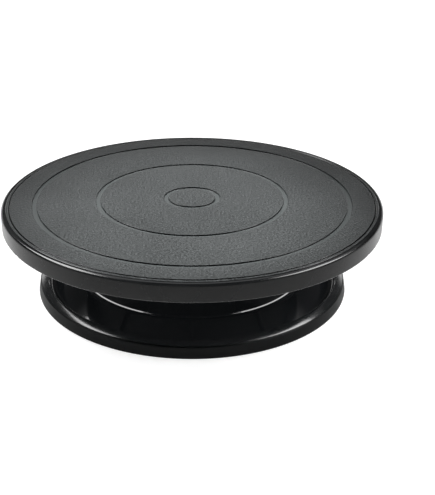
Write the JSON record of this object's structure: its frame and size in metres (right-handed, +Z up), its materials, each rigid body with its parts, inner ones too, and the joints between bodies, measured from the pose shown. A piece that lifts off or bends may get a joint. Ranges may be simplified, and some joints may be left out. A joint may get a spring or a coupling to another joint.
{
  "type": "cake turntable",
  "caption": "Low round plastic cake turntable: a flat ringed plate that spins freely on a ball bearing over a dished, rubber-footed base.",
  "frame": {"origin": "on the turning axis, on the surface that the rubber feet stand on", "axes": "+Z up along the turning axis; the part looks the same from every side, so +X and +Y are free choices, with the feet 15 degrees and then every 60 degrees round from +X"},
  "size_m": [0.28, 0.28, 0.07],
  "materials": {
    "grained_black_plastic": "fine matte moulded grain on top, satin on the edge and skirt",
    "glossy_black_plastic": "glossy black moulded plastic with a satin rim",
    "plain_steel": "turned and zinc-plated steel",
    "polished_ball_steel": "polished bearing steel",
    "natural_nylon": "unpigmented moulded nylon",
    "black_rubber": "matte black rubber"
  },
  "bodies": {
    "base": {"base_shell": "glossy_black_plastic", "lower_race": "plain_steel", "upper_spindle_bush": "natural_nylon", "lower_spindle_bush": "natural_nylon", "rubber_foot_1": "black_rubber", "rubber_foot_2": "black_rubber", "rubber_foot_3": "black_rubber", "rubber_foot_4": "black_rubber", "rubber_foot_5": "black_rubber", "rubber_foot_6": "black_rubber"},
    "plate": {"turntable_plate": "grained_black_plastic", "upper_race": "plain_steel", "spindle": "plain_steel", "retaining_washer": "plain_steel", "lock_nut": "plain_steel"},
    "bearing_cage": {"ball_cage": "natural_nylon"},
    "rolling_ball_01": {"ball_01": "polished_ball_steel"},
    "rolling_ball_02": {"ball_02": "polished_ball_steel"},
    "rolling_ball_03": {"ball_03": "polished_ball_steel"},
    "rolling_ball_04": {"ball_04": "polished_ball_steel"},
    "rolling_ball_05": {"ball_05": "polished_ball_steel"},
    "rolling_ball_06": {"ball_06": "polished_ball_steel"},
    "rolling_ball_07": {"ball_07": "polished_ball_steel"},
    "rolling_ball_08": {"ball_08": "polished_ball_steel"},
    "rolling_ball_09": {"ball_09": "polished_ball_steel"},
    "rolling_ball_10": {"ball_10": "polished_ball_steel"},
    "rolling_ball_11": {"ball_11": "polished_ball_steel"},
    "rolling_ball_12": {"ball_12": "polished_ball_steel"}
  },
  "joints": [
    {"name": "plate_spin", "type": "hinge", "parent": "base", "child": "plate", "pos_m": [0, 0, 0.06], "axis": [0, 0, 1], "continuous": true},
    {"name": "cage_spin", "type": "hinge", "parent": "base", "child": "bearing_cage", "pos_m": [0, 0, 0.0546], "axis": [0, 0, 1], "continuous": true},
    {"name": "ball_01_roll", "type": "hinge", "parent": "bearing_cage", "child": "rolling_ball_01", "pos_m": [0.023, 0, 0.0546], "axis": [1, 0, 0], "continuous": true},
    {"name": "ball_02_roll", "type": "hinge", "parent": "bearing_cage", "child": "rolling_ball_02", "pos_m": [0.01992, 0.0115, 0.0546], "axis": [0.866, 0.5, 0], "continuous": true},
    {"name": "ball_03_roll", "type": "hinge", "parent": "bearing_cage", "child": "rolling_ball_03", "pos_m": [0.0115, 0.01992, 0.0546], "axis": [0.5, 0.866, 0], "continuous": true},
    {"name": "ball_04_roll", "type": "hinge", "parent": "bearing_cage", "child": "rolling_ball_04", "pos_m": [0, 0.023, 0.0546], "axis": [0, 1, 0], "continuous": true},
    {"name": "ball_05_roll", "type": "hinge", "parent": "bearing_cage", "child": "rolling_ball_05", "pos_m": [-0.0115, 0.01992, 0.0546], "axis": [-0.5, 0.866, 0], "continuous": true},
    {"name": "ball_06_roll", "type": "hinge", "parent": "bearing_cage", "child": "rolling_ball_06", "pos_m": [-0.01992, 0.0115, 0.0546], "axis": [-0.866, 0.5, 0], "continuous": true},
    {"name": "ball_07_roll", "type": "hinge", "parent": "bearing_cage", "child": "rolling_ball_07", "pos_m": [-0.023, 0, 0.0546], "axis": [-1, 0, 0], "continuous": true},
    {"name": "ball_08_roll", "type": "hinge", "parent": "bearing_cage", "child": "rolling_ball_08", "pos_m": [-0.01992, -0.0115, 0.0546], "axis": [-0.866, -0.5, 0], "continuous": true},
    {"name": "ball_09_roll", "type": "hinge", "parent": "bearing_cage", "child": "rolling_ball_09", "pos_m": [-0.0115, -0.01992, 0.0546], "axis": [-0.5, -0.866, 0], "continuous": true},
    {"name": "ball_10_roll", "type": "hinge", "parent": "bearing_cage", "child": "rolling_ball_10", "pos_m": [0, -0.023, 0.0546], "axis": [0, -1, 0], "continuous": true},
    {"name": "ball_11_roll", "type": "hinge", "parent": "bearing_cage", "child": "rolling_ball_11", "pos_m": [0.0115, -0.01992, 0.0546], "axis": [0.5, -0.866, 0], "continuous": true},
    {"name": "ball_12_roll", "type": "hinge", "parent": "bearing_cage", "child": "rolling_ball_12", "pos_m": [0.01992, -0.0115, 0.0546], "axis": [0.866, -0.5, 0], "continuous": true}
  ],
  "couplings": [
    {"joint": "cage_spin", "follows": "plate_spin", "ratio": 0.5},
    {"joint": "ball_01_roll", "follows": "plate_spin", "ratio": -3.8333},
    {"joint": "ball_02_roll", "follows": "plate_spin", "ratio": -3.8333},
    {"joint": "ball_03_roll", "follows": "plate_spin", "ratio": -3.8333},
    {"joint": "ball_04_roll", "follows": "plate_spin", "ratio": -3.8333},
    {"joint": "ball_05_roll", "follows": "plate_spin", "ratio": -3.8333},
    {"joint": "ball_06_roll", "follows": "plate_spin", "ratio": -3.8333},
    {"joint": "ball_07_roll", "follows": "plate_spin", "ratio": -3.8333},
    {"joint": "ball_08_roll", "follows": "plate_spin", "ratio": -3.8333},
    {"joint": "ball_09_roll", "follows": "plate_spin", "ratio": -3.8333},
    {"joint": "ball_10_roll", "follows": "plate_spin", "ratio": -3.8333},
    {"joint": "ball_11_roll", "follows": "plate_spin", "ratio": -3.8333},
    {"joint": "ball_12_roll", "follows": "plate_spin", "ratio": -3.8333}
  ]
}
